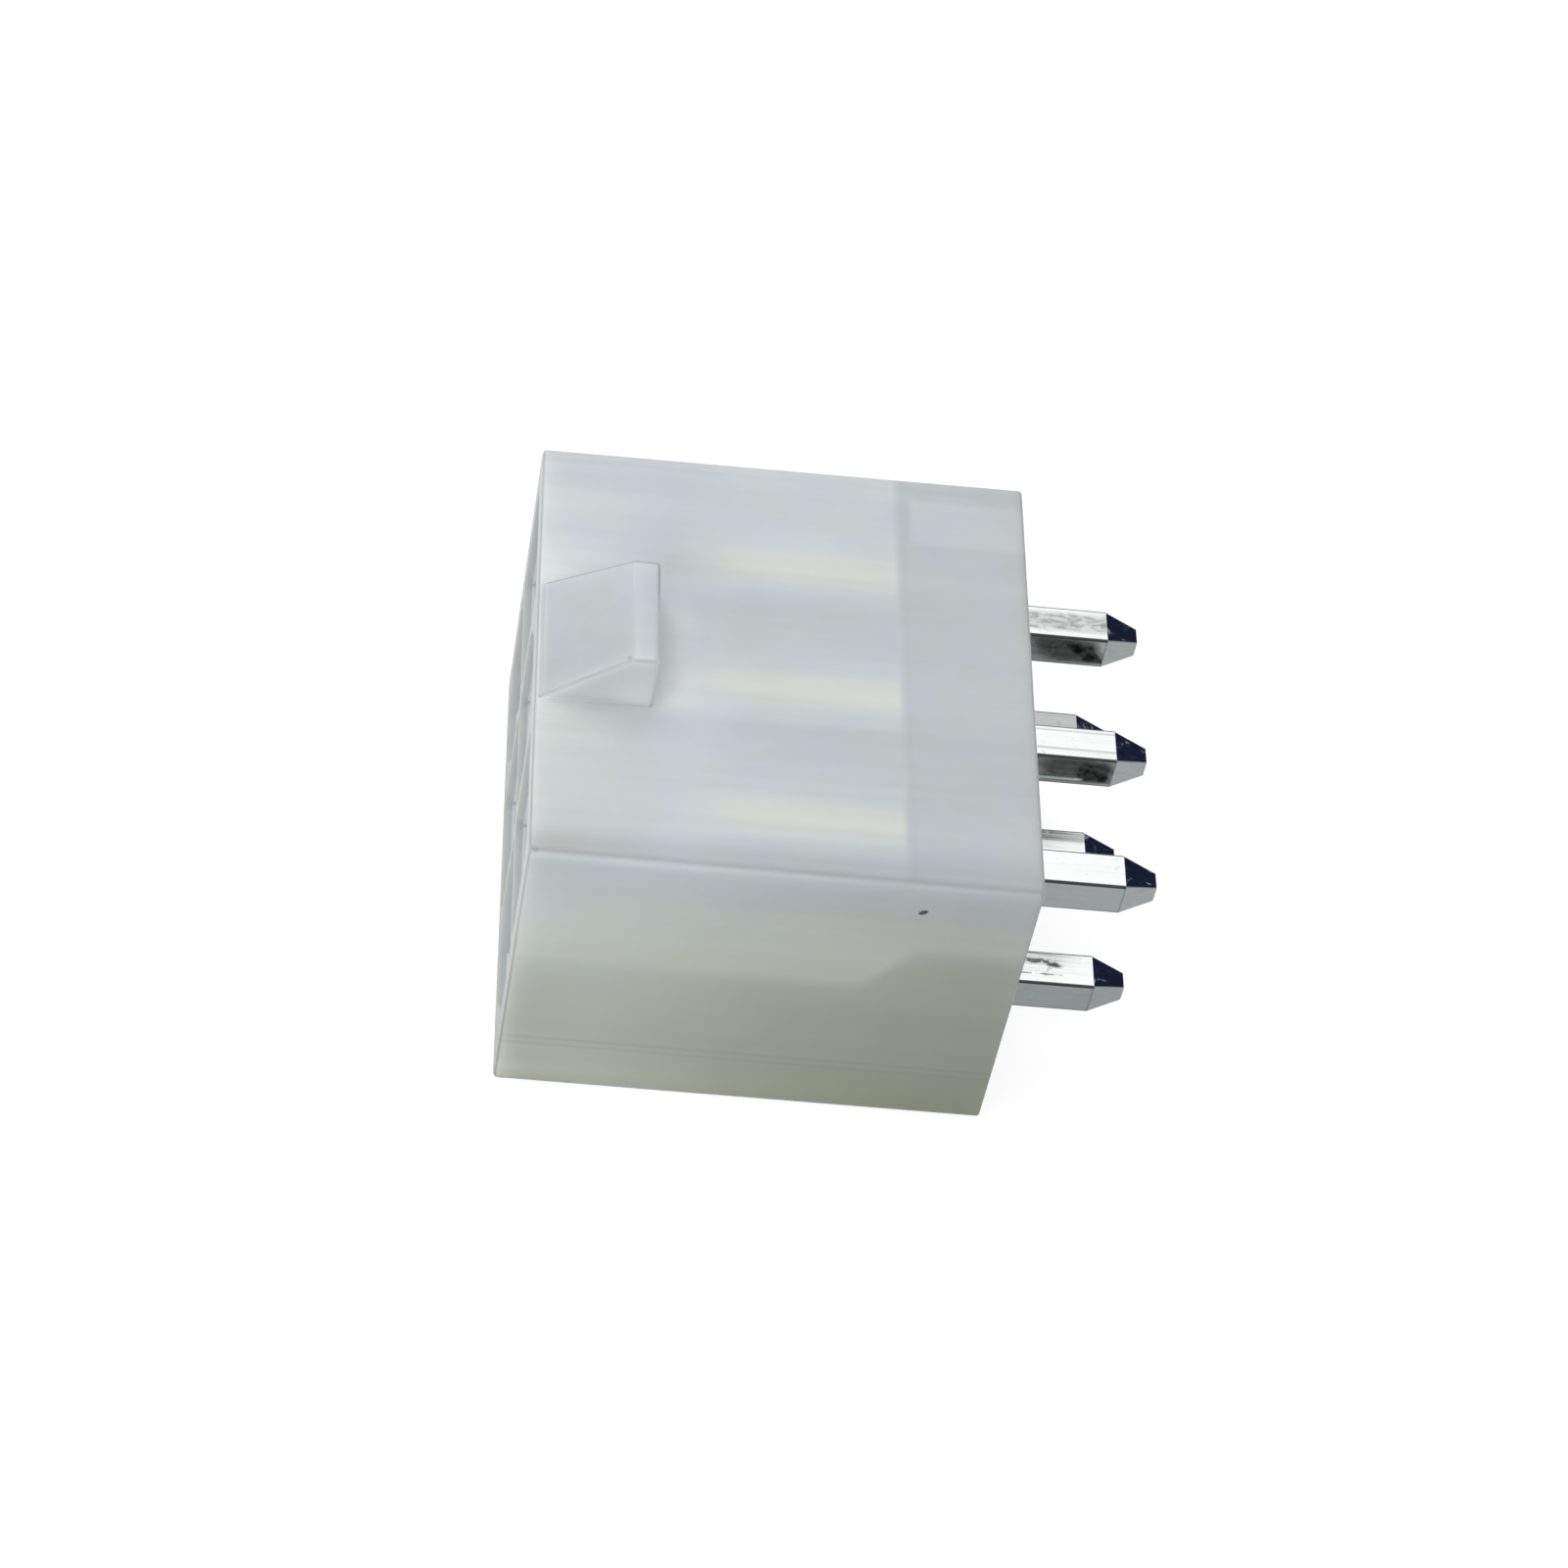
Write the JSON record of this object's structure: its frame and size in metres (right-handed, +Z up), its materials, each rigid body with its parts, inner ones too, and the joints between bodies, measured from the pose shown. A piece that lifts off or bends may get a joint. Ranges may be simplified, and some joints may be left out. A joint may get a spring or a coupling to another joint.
{
  "type": "board power connector",
  "caption": "Straight two-row board header with a keyed, open-fronted translucent housing, a locking ramp and square solder posts, lying on one side.",
  "frame": {"origin": "bottom centre of the bounding box: on the surface the header lies on, half way along its length from mouth to tail tips, and midway across the three columns", "axes": "+X from the mouth towards the solder tails, +Y along the rows towards the far end wall, +Z up, out of the wall with the locking ramp; the header lies on the wall opposite the ramp"},
  "size_m": [0.0162, 0.0138, 0.011],
  "materials": {
    "natural_nylon": "satin, milky translucent moulding",
    "tinned_brass": "bright tin plate"
  },
  "bodies": {
    "root": {"housing": "natural_nylon", "contact_post_1": "tinned_brass", "contact_post_2": "tinned_brass", "contact_post_3": "tinned_brass", "contact_post_4": "tinned_brass", "contact_post_5": "tinned_brass", "contact_post_6": "tinned_brass"}
  },
  "joints": []
}
